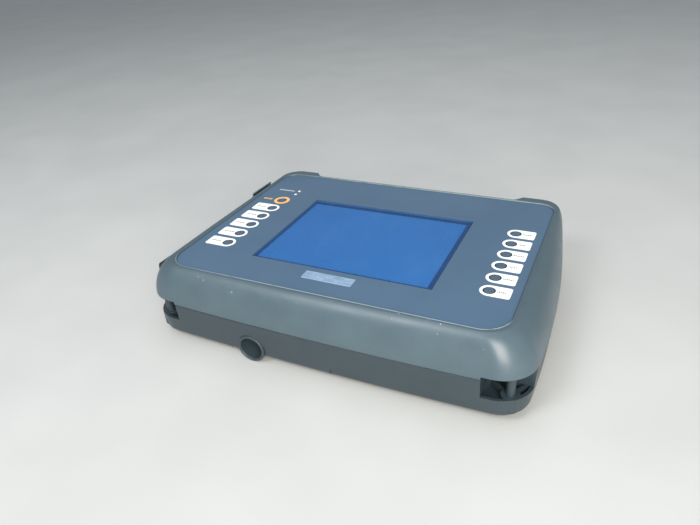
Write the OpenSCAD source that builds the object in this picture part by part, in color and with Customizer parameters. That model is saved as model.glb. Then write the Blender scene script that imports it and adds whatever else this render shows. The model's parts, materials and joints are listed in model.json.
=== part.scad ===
// Rugged hand-held data collector: a flat two-part moulded case with a recessed keypad overlay,
// a central colour display, six soft keys on each side, strap posts in the four corners,
// a row of input sockets between two ears on the far side, and a battery bay underneath.
// X runs to the right, Y to the far (socket) side and Z up. The origin is the middle of the
// bounding box on the surface that the feet stand on.

/* [Case] */
// Half of the case width at its widest, on the parting plane
case_half = 138.8; // [134:0.2:142]
// Distance from the window centre to the front of the case on the parting plane
case_front = 94; // [92:0.5:97]
// Distance from the window centre to the tips of the ears on the parting plane
case_far = 105; // [103:0.5:108]
// Height of the parting plane above the table
parting_z = 32; // [31:0.5:33]
// Height of the overlay's face above the table
face_z = 57.5; // [56.5:0.5:59]
// Wall thickness of both shells
wall = 2.8; // [2.4:0.1:3]
// Height of the case's underside above the table
belly_z = 5; // [4.5:0.1:5]
// Corner radius at the front on the parting plane
front_corner_r = 20.5; // [18.5:0.5:23]
// Corner radius at the far side on the parting plane
far_corner_r = 17; // [14:0.5:18]

/* [Front face] */
// Half of the overlay's width
overlay_half = 119.5; // [118.5:0.1:119.9]
// Distance from the window centre to the overlay's front edge
overlay_front = 79.5; // [79:0.1:80]
// Distance from the window centre to the overlay's far edge
overlay_far = 93.2; // [92:0.1:93.4]
// Radius of the overlay's two near corners
overlay_near_r = 17; // [14:0.5:18]
// Radius of the overlay's two far corners
overlay_far_r = 12; // [10:0.5:13]
// Thickness of the overlay
overlay_t = 0.5; // [0.4:0.05:0.6]
// How far the rim stands above the overlay
rim_h = 0.9; // [0.6:0.1:1.2]

/* [Display] */
// Width of the clear window
window_w = 134; // [132:0.5:135]
// Height of the clear window
window_h = 100; // [98:0.5:101]
// Width of the picture area
screen_w = 128.6; // [127:0.2:129]
// Height of the picture area
screen_h = 92.2; // [90:0.2:95]
// Position of the picture's middle from the window's middle, along X
screen_x = -1.5; // [-2:0.1:0]

/* [Keys] */
// Distance between two keys of a column
key_pitch = 15.7; // [15.2:0.1:16]
// Distance from the window centre to the top row of keys
key_top_y = 39.5; // [39:0.5:41]
// Centre of the right-hand key column
key_right_x = 100.2; // [99:0.1:101]
// Centre of the left-hand key column
key_left_x = -95.6; // [-96.5:0.1:-95]
// Radius of a key cap
key_r = 3.9; // [3.7:0.05:3.95]
// Outer radius of the ring round the power key
power_ring_r = 6.7; // [6:0.1:7]
// How far a key goes down
key_travel = 0.6; // [0.4:0.05:0.7]

/* [Strap posts] */
// Radius of a strap post
post_r = 2.75; // [2.6:0.05:3]
// Radius of the inner corner of the space around a strap post
pocket_r = 10; // [8:0.5:11]
// Height of the sill below a pocket
sill_z = 18; // [17:0.5:19]

/* [Sockets] */
// Distance between two coaxial sockets
coax_pitch = 24; // [22:0.5:25]
// Height of the socket row above the table
socket_z = 30; // [29:0.5:31]

/* [Probe tube] */
// Radius of the probe tube's bore
tube_bore_r = 8.25; // [8:0.05:8.4]
// Outer radius of the probe tube
tube_r = 10.45; // [10.3:0.05:10.6]
// Length of the probe tube
tube_len = 52; // [46:1:58]

/* [Battery] */
// Width of the battery door
door_w = 120; // [116:1:122]
// Depth of the battery door
door_d = 80; // [76:1:82]

/* [Hidden] */

gap = 0.3;              // space between pieces of different bodies
fit = 0.05;             // radial clearance of a screw or shaft in its hole
thin = 0.02;            // thickness of the slabs that a hull is stretched over
far = 200;              // longer than any cut needs to be

// Extents that place the origin
port_reach = 143;       // power cover's outer face from the window centre
tube_front = 93.3;      // probe tube's mouth from the window centre
shift_x = (port_reach - case_half) / 2;
shift_y = (case_front - case_far) / 2;

// Case levels
rim_z = face_z + rim_h;
roof_z = 54;            // underside of the front shell's top plate
overlay_z = face_z - overlay_t;
floor_z = belly_z + wall;

// How much the outline shrinks from the parting plane to the rim, on each side
rim_in_x = 16.5;
rim_in_front = 12;
rim_in_far = 3.5;
side_bow = 0.055;       // how strongly the sides curve in, per (100 mm)^2
front_bow = 0.0176;     // the same for the front
bow_y = -35;            // the sides are widest here
crown_power = 0.7;      // shape of the front shell's convex slope

// Far side
recess_half = 86;       // half width of the recess between the ears
recess_y = 95;          // wall of that recess
recess_slope = 13;      // width of the S-shaped curve at each end of the recess
bay_half = 84;          // half width of the socket bay
bay_y = 84;             // back wall of the socket bay
bay_top = 48;
bay_bottom = 12;

// Strap posts: one position each for the front and the far corners
front_post = [125.1, -81.5];
far_post = [114, 91.5];
pocket_in_x = 15.6;     // from a post to the pocket's inner wall along X
pocket_in_y = 11.5;     // the same along Y
pocket_top = parting_z + 2.2;
seat_depth = 3;         // how deep a strap post sits in each shell
web_t = 2.4;            // roof and walls of a strap pocket
well_z = 13;            // floor of a strap pocket beside its post
post_foot_r = 5.6;      // round foot that a strap post stands on
sill_w = 2.2;           // width of the sill along the outside of a pocket

// Housing screws, two on each side
screw_r = 1.45;
screw_x = 118;
screw_y = [-40, 22];
screw_boss_r = 4.8;
screw_head_r = 2.9;
screw_low = belly_z + 1;

// Key stack, from the board up
key_rows = 6;
board_z = 49.4;
board_t = 1.6;
key_flange_r = 5.6;
key_flange_z = 52.5;
key_flange_t = 1.2;
key_top_z = face_z + 0.25;
pill_r = 6;             // half height of the white field round a key
pill_out_right = 13.6;  // from the key's centre to the field's outer end
pill_out_left = 16.9;
print_t = 0.15;         // thickness of printing
seal_t = 0.4;           // thickness of the battery door's seal

// Display stack
window_t = 1.7;
window_z = face_z - 0.2 - window_t;
lcd_low = 43.5;         // underside of the display's metal frame
lcd_z = 50;             // underside of the liquid crystal panel
lcd_half_w = 69;
lcd_half_h = 53;
picture_w = window_w - 3;   // opening in the shell under the window
picture_h = window_h - 4;

// Side ports, all on the left
card_mid = [-132.5, 56];    // point of the case's side behind the middle of the card door
card_turn = -7.9;           // the side runs at this angle to the Y axis there
card_len = 34;
card_hinge_out = 2.1;       // hinge axis, outwards from the side
card_hinge_z = 35.4;
card_pin_r = 1.6;
card_slot_z = [40.5, 46.5];
card_skin = 4.4;            // how far the door's face stands off the case
card_top_z = rim_z - 1.5;
card_step_z = 50;           // the door is narrower above this height
cover_y = [-69, -50];
cover_z = [33.8, 44.8];
cover_edge_r = 4;
cover_hinge = [-141, -47.6];
power_port = [-57, 39.2];   // Y and Z of the power socket's axis

// Probe tube and battery bay
tube_x = -47.6;
tube_z = 10.7;
door_x = 30;
door_y = 8;
door_t = 2.2;
door_gap = 0.3;
door_rim = 14;          // ledge that the door's fasteners turn in, at each end
bay_w = door_w - 2 * door_rim;
bay_d = door_d - 8;
bay_z = 29.4;           // roof of the battery bay
ledge_z = 14;
fastener_x = (door_w - door_rim) / 2;
fastener_r = 4.5;
board_x = 18;           // centre of the main board
board_y = 2;
board_low = 34.5;
foot_r = 8;

shell_grey = "#4b545c";
overlay_blue = "#4a5a70";
rubber_black = "#16181a";

// ---------- outlines ----------

function mix(a, b, t) = a + (b - a) * t;

function arc_points(c, r, a0, n = 8) =
    [for (i = [0:n]) let (a = a0 + 90 * i / n) c + r * [cos(a), sin(a)]];

function side_points(p, q, n = 8) = [for (i = [1:n - 1]) mix(p, q, i / n)];

// A rounded rectangle with points along its sides, so that the sides can be bowed
function ring(hw, yf, yr, rf, rr) =
    concat(
        arc_points([hw - rf, -yf + rf], rf, -90),
        side_points([hw, -yf + rf], [hw, yr - rr]),
        arc_points([hw - rr, yr - rr], rr, 0),
        side_points([hw - rr, yr], [rr - hw, yr]),
        arc_points([rr - hw, yr - rr], rr, 90),
        side_points([-hw, yr - rr], [-hw, -yf + rf]),
        arc_points([rf - hw, -yf + rf], rf, 180),
        side_points([rf - hw, -yf], [hw - rf, -yf]));

function bow_point(p, sides, front) =
    [p[0] * (1 - sides * pow((p[1] - bow_y) / 100, 2)),
     p[1] < 0 ? p[1] * (1 - front * pow(p[0] / 100, 2)) : p[1]];

// How far the outline has moved from the parting plane (0) to the rim (1) at height z
function crown(z) = 1 - pow(1 - pow((z - parting_z) / (rim_z - parting_z), 2), crown_power);

// Outline of the front shell at height z, grown outwards by g
function front_outline(z, g = 0) =
    let (k = crown(z))
    [for (p = ring(case_half - rim_in_x * k + g, case_front - rim_in_front * k + g,
                   case_far - rim_in_far * k + g, front_corner_r - 2.5 * k + g,
                   far_corner_r - 2 * k + g))
        bow_point(p, side_bow * (1 - k), front_bow * (1 - k))];

// Outline of the rear shell, shrunk by inset
function rear_outline(inset) =
    [for (p = ring(case_half - inset, case_front - inset, case_far - inset,
                   front_corner_r - inset, far_corner_r - inset))
        bow_point(p, side_bow, front_bow)];

// ---------- helpers ----------

module placed() translate([shift_x, shift_y, 0]) children();

module slab(z, points) translate([0, 0, z]) linear_extrude(thin) polygon(points);

module front_solid(g = 0, top = rim_z) {
    steps = 7;
    hull() {
        for (i = [0:steps]) {
            z = mix(parting_z, rim_z - thin, sin(90 * i / steps));
            if (z < top) slab(z, front_outline(z, g));
        }
        if (top < rim_z) slab(top - thin, front_outline(top, g));
    }
}

module rear_solid(g = 0, bottom = belly_z) {
    levels = [[bottom, 4.6], [bottom + 0.4, 3.5], [bottom + 1.2, 2.7], [bottom + 3, 2.1],
              [sill_z, 1.2], [parting_z - thin, 0.5]];
    hull() for (level = levels) slab(level[0], rear_outline(level[1] + g));
}

module rounded_rect(w, h, r) {
    square([w - 2 * r, h], center = true);
    square([w, h - 2 * r], center = true);
    for (x = [-1, 1], y = [-1, 1])
        translate([x * (w / 2 - r), y * (h / 2 - r)]) circle(r = r, $fn = 48);
}

module plate(w, h, t, r) linear_extrude(t) rounded_rect(w, h, r);

module block(low, high) translate(low) cube(high - low);

module x_rod(r, x0, x1) translate([x0, 0, 0]) rotate([0, 90, 0]) cylinder(r = r, h = x1 - x0, $fn = 48);

module y_rod(r, y0, y1) translate([0, y1, 0]) rotate([90, 0, 0]) cylinder(r = r, h = y1 - y0, $fn = 64);

module overlay_outline(grow = 0)
    polygon(ring(overlay_half + grow, overlay_front + grow, overlay_far + grow,
                 overlay_near_r + grow, overlay_far_r + grow));

module at_keys(sides = [-1, 1])
    for (side = sides, i = [0:key_rows - 1]) translate(concat(key_centre(side, i), 0)) children();

function key_centre(side, i) = [side < 0 ? key_left_x : key_right_x, key_top_y - i * key_pitch];

module at_lamps() for (y = [54, 60.7]) translate([-90.6, y, 0]) children();

module at_posts()
    for (m = [0, 1]) mirror([m, 0, 0]) {
        translate(front_post) children();
        translate(far_post) mirror([0, 1, 0]) children();
    }

module at_screws()
    for (x = [-1, 1], y = screw_y) translate([x * screw_x, y, 0]) children();

// Plan of the space round a strap post, open to the front and to the side
module pocket_plan(grow = 0) {
    out = 60;
    corner = [pocket_r - pocket_in_x, pocket_in_y - pocket_r];
    translate(corner) circle(r = pocket_r + grow, $fn = 64);
    translate([-pocket_in_x - grow, -out]) square([out + pocket_in_x + grow, out + corner[1]]);
    translate([corner[0], -out]) square([out, out + pocket_in_y + grow]);
}

// One end of the recess: an S-shaped curve from its wall out to the ear's tip
function recess_end(grow) =
    [for (i = [0:8]) let (u = i / 8)
        [recess_half + grow + recess_slope * u,
         recess_y - grow + (case_far + 1 + grow - recess_y) * u * u * (3 - 2 * u)]];

function swapped(points) = [for (i = [len(points) - 1:-1:0]) [-points[i][0], points[i][1]]];

// Recess between the two ears of the far side
module recess_plan(grow = 0) {
    end = recess_end(grow);
    wide = recess_half + recess_slope + grow;
    polygon(concat(end, [[wide, far], [-wide, far]], swapped(end)));
}

module socket_bay(grow = 0)
    block([-bay_half - grow, bay_y - grow, bay_bottom - grow], [bay_half + grow, far, bay_top + grow]);

module battery_bay(grow = 0)
    translate([door_x - bay_w / 2 - grow, door_y - bay_d / 2 - grow, 0])
        cube([bay_w + 2 * grow, bay_d + 2 * grow, bay_z + grow]);

// Frame of the card door: its Y runs along the side of the case and its X points inwards
module at_card_door() translate([card_mid[0], card_mid[1], 0]) rotate(card_turn) children();

// ---------- shells ----------

module front_cavity() {
    difference() {
        front_solid(-wall, roof_z);
        linear_extrude(far) recess_plan(wall);
        socket_bay(web_t);
        at_posts() linear_extrude(pocket_top + web_t) pocket_plan(web_t);
        translate([0, power_port[0], power_port[1]]) x_rod(7.5, -138, -124);
        at_card_door() block([-4, -15, card_slot_z[0] - 2.5], [19, 15, card_slot_z[1] + 2.5]);
    }
}

module front_shell() placed() color(shell_grey) difference() {
    union() {
        difference() {
            front_solid();
            front_cavity();
            translate([0, 0, overlay_z]) linear_extrude(far) overlay_outline(0.15);
        }
        at_posts() translate([0, 0, pocket_top]) cylinder(r = 4.6, h = 5, $fn = 48);
        at_screws() translate([0, 0, parting_z])
            cylinder(r = screw_boss_r, h = roof_z - parting_z + 0.5, $fn = 48);
    }
    linear_extrude(far) recess_plan();
    translate([0, 0, parting_z - 1]) linear_extrude(1 + pocket_top - parting_z)
        at_posts_2d() pocket_plan();
    socket_bay();
    block([-bay_half + 4, bay_y - 6, bay_bottom + 4], [bay_half - 4, far, bay_top - 4]);
    linear_extrude(far) square([picture_w, picture_h], center = true);
    translate([0, 0, window_z - print_t]) linear_extrude(far)
        square([window_w + 0.3, window_h + 0.3], center = true);
    at_keys() cylinder(r = key_r + 0.8, h = far, $fn = 48);
    at_lamps() cylinder(r = 1.4, h = far, $fn = 32);
    at_posts() cylinder(r = post_r + fit, h = pocket_top + seat_depth, $fn = 48);
    at_screws() cylinder(r = screw_r + fit, h = parting_z + 11, $fn = 32);
    translate([0, power_port[0], power_port[1]]) x_rod(5, -far, -120);
    at_card_door() block([-10, -13, card_slot_z[0]], [22, 13, card_slot_z[1]]);
    gasket_ring(0.15, 0.05);
}

module rear_cavity() {
    difference() {
        translate([0, 0, wall]) rear_solid(wall);
        linear_extrude(far) recess_plan(wall);
        socket_bay(web_t);
        at_posts() linear_extrude(far) pocket_plan(web_t);
        translate([tube_x, 0, tube_z]) y_rod(tube_r + 2, -far, tube_len - tube_front + 2.6);
        battery_bay(2.2);
        translate([door_x, door_y, 0]) plate(door_w + 6, door_d + 6, ledge_z, 6);
    }
}

module rear_shell() placed() color(shell_grey) difference() {
    union() {
        difference() {
            rear_solid();
            rear_cavity();
            translate([0, 0, sill_z]) linear_extrude(far) at_posts_2d() pocket_plan();
            translate([0, 0, well_z]) linear_extrude(far) intersection() {
                at_posts_2d() pocket_plan();
                polygon(rear_outline(1.4 + sill_w));
            }
        }
        at_posts() strap_floor();
        at_screws() translate([0, 0, floor_z - 1])
            cylinder(r = screw_boss_r, h = parting_z - floor_z + 1, $fn = 48);
    }
    linear_extrude(far) recess_plan();
    socket_bay();
    block([-bay_half + 4, bay_y - 6, bay_bottom + 4], [bay_half - 4, far, bay_top - 4]);
    battery_bay();
    translate([door_x, door_y, belly_z - 1])
        plate(door_w + 2 * door_gap, door_d + 2 * door_gap, 1 + door_t + seal_t, 5);
    translate([tube_x, 0, tube_z]) y_rod(tube_r + fit, -far, tube_len - tube_front + 0.1);
    at_posts() translate([0, 0, sill_z - seat_depth]) cylinder(r = post_r + fit, h = far, $fn = 48);
    at_screws() cylinder(r = screw_r + 0.15, h = far, $fn = 32);
    at_screws() cylinder(r = screw_head_r + 0.4, h = screw_low + 3, $fn = 48);
    at_feet() cylinder(r = foot_r + 0.1, h = belly_z + 1, $fn = 64);
    at_fasteners() cylinder(r = 3.4, h = ledge_z - 2, $fn = 48);
    gasket_ring(0.15, 0.05);
}

// Round foot and two ribs that carry a strap post
module strap_floor()
    translate([0, 0, floor_z]) {
        cylinder(r = post_foot_r, h = sill_z - floor_z, $fn = 48);
        for (a = [58, 145]) rotate(a) translate([0, -1.1, 0]) cube([15.2, 2.2, sill_z - floor_z]);
    }

module gasket_ring(grow = 0, deep = 0) {
    difference() {
        translate([0, 0, parting_z - 0.8 - deep]) linear_extrude(1.6 + 2 * deep)
            gasket_plan(1.3 - grow);
        translate([0, 0, parting_z - 2]) linear_extrude(4) gasket_plan(2.3 + grow);
    }
}

// Line that the housing gasket follows, clear of the corner pockets and open behind the socket panel
module gasket_plan(inset)
    difference() {
        polygon(rear_outline(inset));
        at_posts_2d() pocket_plan(web_t - 2.3 + inset);
        recess_plan(inset);
        translate([-bay_half - inset, bay_y - inset]) square([2 * (bay_half + inset), far]);
        translate([3 - bay_half, bay_y - 8]) square([2 * (bay_half - 3), far]);
    }

module at_posts_2d()
    for (m = [0, 1]) mirror([m, 0]) {
        translate(front_post) children();
        translate(far_post) mirror([0, 1]) children();
    }

module housing_gasket() placed() color(rubber_black) gasket_ring();

// Plain pins that sit in both shells
module strap_posts() placed() color(shell_grey)
    at_posts() translate([0, 0, sill_z - seat_depth])
        cylinder(r = post_r, h = pocket_top - sill_z + 2 * seat_depth, $fn = 48);

module housing_screws() placed() color("silver")
    at_screws() translate([0, 0, screw_low]) difference() {
        union() {
            cylinder(r = screw_head_r, h = 3, $fn = 48);
            cylinder(r = screw_r, h = 36, $fn = 32);
        }
        translate([0, 0, -1]) cylinder(r = 1.3, h = 2.6, $fn = 6);
    }

module at_feet()
    for (m = [0, 1]) mirror([m, 0, 0]) {
        translate([100, -66, 0]) children();
        translate([94, 68, 0]) children();
    }

module rubber_feet() placed() color(rubber_black) at_feet() cylinder(r = foot_r, h = belly_z + 1, $fn = 64);

// ---------- front face ----------

module keypad_overlay() placed() color(overlay_blue)
    translate([0, 0, overlay_z]) linear_extrude(overlay_t) difference() {
        overlay_outline();
        square([window_w, window_h], center = true);
        at_keys() circle(r = key_r + 0.2, $fn = 48);
        at_lamps() circle(r = 1.3, $fn = 32);
    }

// White field round one key: round on the screen side, square at its label end
module pill(side, out) {
    mirror([side < 0 ? 1 : 0, 0]) difference() {
        union() {
            circle(r = pill_r, $fn = 64);
            translate([0, -pill_r]) square([out - 1.5, 2 * pill_r]);
            translate([0, 1.5 - pill_r]) square([out, 2 * pill_r - 3]);
            for (y = [-1, 1]) translate([out - 1.5, y * (pill_r - 1.5)]) circle(r = 1.5, $fn = 32);
        }
        circle(r = key_r + 0.2, $fn = 48);
    }
}

module key_surrounds() placed() color("white")
    translate([0, 0, face_z]) linear_extrude(print_t) {
        for (i = [0:key_rows - 1]) translate(key_centre(1, i)) pill(1, pill_out_right);
        for (i = [1:key_rows - 1]) translate(key_centre(-1, i)) pill(-1, pill_out_left);
    }

module power_key_ring() placed() color("orange")
    translate(concat(key_centre(-1, 0), face_z)) linear_extrude(print_t) difference() {
        circle(r = power_ring_r, $fn = 64);
        circle(r = key_r + 0.2, $fn = 48);
    }

module key(side, i) placed() color(overlay_blue)
    translate(concat(key_centre(side, i), 0)) {
        translate([0, 0, key_flange_z]) cylinder(r = key_flange_r, h = key_flange_t, $fn = 48);
        translate([0, 0, key_flange_z]) cylinder(r = key_r, h = key_top_z - key_flange_z, $fn = 48);
    }

module status_lamps() placed() color("white")
    at_lamps() translate([0, 0, board_z + board_t])
        cylinder(r = 1.25, h = face_z + 0.15 - board_z - board_t, $fn = 32);

module name_plate() placed() color("lightsteelblue")
    translate([-0.8, -59.8, face_z]) plate(36.4, 9, 0.3, 0.8);

// ---------- display ----------

module display_window() placed() color("steelblue", 0.4)
    translate([0, 0, window_z]) linear_extrude(window_t)
        square([window_w - 0.1, window_h - 0.1], center = true);

// Dark frame printed on the underside of the window
module window_border() placed() color("midnightblue")
    translate([0, 0, window_z - print_t]) linear_extrude(print_t) difference() {
        square([window_w, window_h], center = true);
        translate([screen_x, 0]) square([screen_w, screen_h], center = true);
    }

module lcd_bezel() placed() color("silver")
    translate([0, 0, lcd_low]) difference() {
        linear_extrude(roof_z - 0.1 - lcd_low) square([2 * lcd_half_w, 2 * lcd_half_h], center = true);
        translate([0, 0, 1]) linear_extrude(roof_z - 2.1 - lcd_low)
            square([2 * lcd_half_w - 2, 2 * lcd_half_h - 2], center = true);
        translate([0, 0, 1]) linear_extrude(far) square([picture_w, picture_h], center = true);
    }

// Liquid crystal panel, with its glass raised to just under the window
module lcd_panel() placed() color("royalblue")
    translate([0, 0, lcd_z]) {
        linear_extrude(2.4) square([2 * lcd_half_w - 2.4, 2 * lcd_half_h - 2.4], center = true);
        linear_extrude(window_z - print_t - 0.1 - lcd_z)
            square([picture_w - 2 * gap, picture_h - 2 * gap], center = true);
    }

module backlight_panel() placed() color("white")
    translate([0, 0, lcd_low + 1.2]) linear_extrude(4.8)
        square([2 * lcd_half_w - 2.4, 2 * lcd_half_h - 2.4], center = true);

// ---------- boards ----------

module keypad_board() placed() color("darkgreen")
    translate([0, 0, board_z]) linear_extrude(board_t) difference() {
        square([222, 140], center = true);
        square([2 * lcd_half_w + 2, 2 * lcd_half_h + 2], center = true);
    }

module snap_domes() placed() color("silver")
    at_keys() translate([0, 0, board_z + board_t]) {
        cylinder(r = 4.6, h = 0.35, $fn = 32);
        cylinder(r = 3, h = key_flange_z - board_z - board_t - key_travel - 0.2, $fn = 32);
    }

module main_board() placed() color("darkgreen")
    translate([board_x, board_y, board_low]) linear_extrude(board_t) difference() {
        square([176, 112], center = true);
        for (x = [-1, 1], y = [-1, 1]) translate([x * 82, y * 50]) circle(r = 1.6, $fn = 32);
    }

module main_board_chips() placed() color("#202024")
    translate([board_x, board_y, board_low + board_t]) {
        chips = [[-58, 24, 28, 28, 2.4], [-18, 26, 24, 24, 2], [22, 28, 14, 20, 1.8], [44, 28, 14, 20, 1.8],
                 [-60, -22, 20, 14, 2], [-28, -24, 10, 16, 2.6], [10, -24, 30, 12, 3.4], [52, -22, 16, 16, 3]];
        for (c = chips) translate([c[0] - c[2] / 2, c[1] - c[3] / 2, 0]) cube([c[2], c[3], c[4]]);
    }

module board_standoffs() placed() color("silver")
    translate([board_x, board_y, 0]) for (x = [-1, 1], y = [-1, 1]) translate([x * 82, y * 50, 0]) {
        translate([0, 0, floor_z]) cylinder(r = 3, h = board_low - floor_z, $fn = 6);
        translate([0, 0, board_low - 1]) cylinder(r = 1.5, h = board_t + 2, $fn = 32);
        translate([0, 0, board_low + board_t]) cylinder(r = 2.8, h = 2, $fn = 32);
    }

module inverter_board() placed() color("darkgreen")
    translate([-98, -8, board_low]) {
        translate([-10, -34, 0]) cube([20, 68, board_t]);
        translate([-7, -26, board_t]) cube([14, 22, 8]);
        translate([-6, 8, board_t]) cube([12, 9, 4]);
        for (y = [-30, 30])
            translate([0, y, floor_z - board_low]) cylinder(r = 2.6, h = board_low - floor_z, $fn = 6);
    }

module coin_cell() placed() color("silver")
    translate([86, -34, board_low + board_t]) cylinder(r = 10, h = 3.4, $fn = 64);

module display_ribbon() placed() color("sienna")
    block([-40, -50, board_low + board_t], [-8, -44, lcd_low]);

module sounder() placed() color(rubber_black)
    translate([-98, 44, floor_z]) difference() {
        cylinder(r = 11, h = 9, $fn = 64);
        translate([0, 0, 6]) cylinder(r = 1.5, h = 4, $fn = 32);
    }

module input_board() placed() color("darkgreen") block([-76, 70, 14], [76, 71.6, 46]);

// ---------- far side sockets ----------

function coax_x(i) = (i - 2.5) * coax_pitch - 24;

data_x = 56;
panel_t = 2;

module connector_panel() placed() color("#70767c")
    translate([0, bay_y + panel_t, 0]) rotate([90, 0, 0]) linear_extrude(panel_t) difference() {
        translate([0, (bay_top + bay_bottom) / 2])
            rounded_rect(2 * bay_half - 0.6, bay_top - bay_bottom - 0.6, 2);
        for (i = [1:4]) translate([coax_x(i), socket_z]) circle(r = 4.8 + fit, $fn = 48);
        translate([data_x, socket_z]) circle(r = 9 + fit, $fn = 64);
        at_panel_screws() circle(r = 1.7, $fn = 32);
    }

module at_panel_screws()
    for (x = [-1, 1], z = [bay_bottom + 5, bay_top - 5]) translate([x * (bay_half - 2.4), z]) children();

// Four screws that hold the socket panel against the bay's back wall
module panel_screws() placed() color("silver")
    translate([0, bay_y + panel_t, 0]) rotate([90, 0, 0])
        at_panel_screws() translate([0, 0, -1.4]) difference() {
            cylinder(r = 2, h = 1.4, $fn = 32);
            translate([0, 0, -0.1]) linear_extrude(0.8) square([3, 0.6], center = true);
        }

// Coaxial socket with a flange nut, a bayonet barrel and a centre contact
module coax_socket(i) placed() color("silver")
    translate([coax_x(i), 0, socket_z]) {
        difference() {
            union() {
                y_rod(4.8, bay_y - 10, bay_y + panel_t + 13);
                y_rod(7, bay_y + panel_t, bay_y + panel_t + 2.4);
                translate([0, bay_y + panel_t + 10.2, 0]) cylinder(r = 1, h = 12, center = true, $fn = 32);
            }
            y_rod(4.1, bay_y + panel_t + 3, far);
        }
        y_rod(2.3, bay_y + panel_t + 2, bay_y + panel_t + 9);
        y_rod(0.7, bay_y + panel_t + 8, bay_y + panel_t + 12);
    }

// Round many-way socket for the data lead
module data_port() placed() color("#30343a")
    translate([data_x, 0, socket_z]) {
        difference() {
            union() {
                y_rod(9, bay_y - 10, bay_y + panel_t + 11);
                y_rod(11.5, bay_y + panel_t, bay_y + panel_t + 2.6);
            }
            y_rod(7.6, bay_y + panel_t + 3, far);
        }
        for (a = [0:45:315]) rotate([0, a, 0]) translate([4.6, 0, 0])
            y_rod(0.55, bay_y + panel_t + 2, bay_y + panel_t + 9);
        y_rod(0.55, bay_y + panel_t + 2, bay_y + panel_t + 9);
    }

// ---------- left side ports ----------

module card_socket() placed() color("silver") at_card_door() difference() {
    block([19.2, -14, card_slot_z[0] - 1], [46, 14, card_slot_z[1] + 1]);
    block([18, -13, card_slot_z[0]], [44, 13, card_slot_z[1]]);
}

// Plan of the card door above its step: the near end slants back to the case
module card_door_plan()
    polygon([[20, -card_len / 2], [9, -card_len / 2], [4, -card_len / 2 + 9], [-9, -card_len / 2 + 14],
             [-9, card_len / 2 - 2], [-5, card_len / 2], [20, card_len / 2]]);

// Door skin that follows the case's side, with a finger lip on top and a hinge rod below
module card_door() placed() color(shell_grey) {
    difference() {
        intersection() {
            front_solid(card_skin);
            at_card_door() union() {
                block([-9, -card_len / 2, card_hinge_z], [20, card_len / 2, card_step_z]);
                linear_extrude(card_top_z) card_door_plan();
            }
            block([-far, -far, card_hinge_z], [far, far, far]);
        }
        front_solid(gap);
        intersection() {
            front_solid(card_skin - 2);
            block([-far, -far, card_step_z + 2.5], [far, far, far]);
        }
    }
    at_card_door() translate([-card_hinge_out, 0, card_hinge_z])
        y_rod(card_pin_r, -card_len / 2, card_len / 2);
}

// DC inlet behind the near cover
module power_socket() placed() color("#30343a")
    translate([0, power_port[0], power_port[1]]) difference() {
        union() {
            x_rod(4.9, -136.4, -120);
            x_rod(6.6, -123.9, -121.4);
        }
        x_rod(3.6, -far, -126);
    }

// Hollow rubber cover of the DC inlet, on an upright pin at its far end
module power_cover() placed() color(rubber_black) difference() {
    union() {
        intersection() {
            translate([-port_reach, (cover_y[0] + cover_y[1]) / 2, (cover_z[0] + cover_z[1]) / 2])
                rotate([90, 0, 90]) linear_extrude(port_reach - 130)
                    rounded_rect(cover_y[1] - cover_y[0], cover_z[1] - cover_z[0], cover_edge_r);
            translate([13 - port_reach, (cover_y[0] + cover_y[1]) / 2 + 1, cover_z[0] - 1])
                cylinder(r = 14.5, h = 14, $fn = 64);
        }
        translate([cover_hinge[0], cover_hinge[1], cover_z[0] + 1])
            cylinder(r = 2, h = cover_z[1] - cover_z[0] - 2, $fn = 32);
        block([cover_hinge[0] - 2, cover_y[1] - 4, cover_z[0] + 2],
              [cover_hinge[0] + 1, cover_hinge[1], cover_z[1] - 2]);
    }
    front_solid(gap);
    translate([0, power_port[0], power_port[1]]) x_rod(5.2, 2.2 - port_reach, -120);
}

// ---------- underside ----------

module probe_tube() placed() color(shell_grey)
    translate([tube_x, 0, tube_z]) difference() {
        y_rod(tube_r, -tube_front, tube_len - tube_front);
        y_rod(tube_bore_r, -far, tube_len - tube_front - 2.6);
    }

module at_fasteners()
    translate([door_x, door_y, 0]) for (x = [-1, 1]) translate([x * fastener_x, 0, 0]) children();

module battery_door() placed() color(shell_grey) difference() {
    translate([door_x, door_y, belly_z]) plate(door_w, door_d, door_t, 5);
    at_fasteners() cylinder(r = fastener_r + 0.08, h = far, $fn = 48);
}

module door_gasket() placed() color(rubber_black)
    translate([door_x, door_y, belly_z + door_t]) linear_extrude(seal_t) difference() {
        rounded_rect(door_w - 1, door_d - 1, 4);
        rounded_rect(door_w - 4, door_d - 4, 3);
    }

// Quarter-turn fastener with a coin slot
module door_fastener(side) placed() color("silver")
    translate([door_x + side * fastener_x, door_y, belly_z]) difference() {
        union() {
            cylinder(r = fastener_r, h = 1.6, $fn = 48);
            cylinder(r = 3, h = 6, $fn = 48);
        }
        translate([-fastener_r - 1, -0.6, -0.1]) cube([2 * fastener_r + 2, 1.2, 1.1]);
    }

module battery_pack() placed() color("#2c3036")
    translate([door_x, door_y, 0])
        block([-bay_w / 2 + 1, -bay_d / 2 + 1, belly_z + door_t + 1], [bay_w / 2 - 1, bay_d / 2 - 1, bay_z - 1]);

module battery_contacts() placed() color("gold")
    translate([door_x, door_y, bay_z - 1])
        for (x = [-24, -8, 8, 24]) translate([x - 2, 22, 0]) cube([4, 8, 1]);

module rating_plate() placed() color("silver")
    translate([-78, 30, belly_z - 0.2]) plate(48, 26, 0.2, 1.5);

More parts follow.
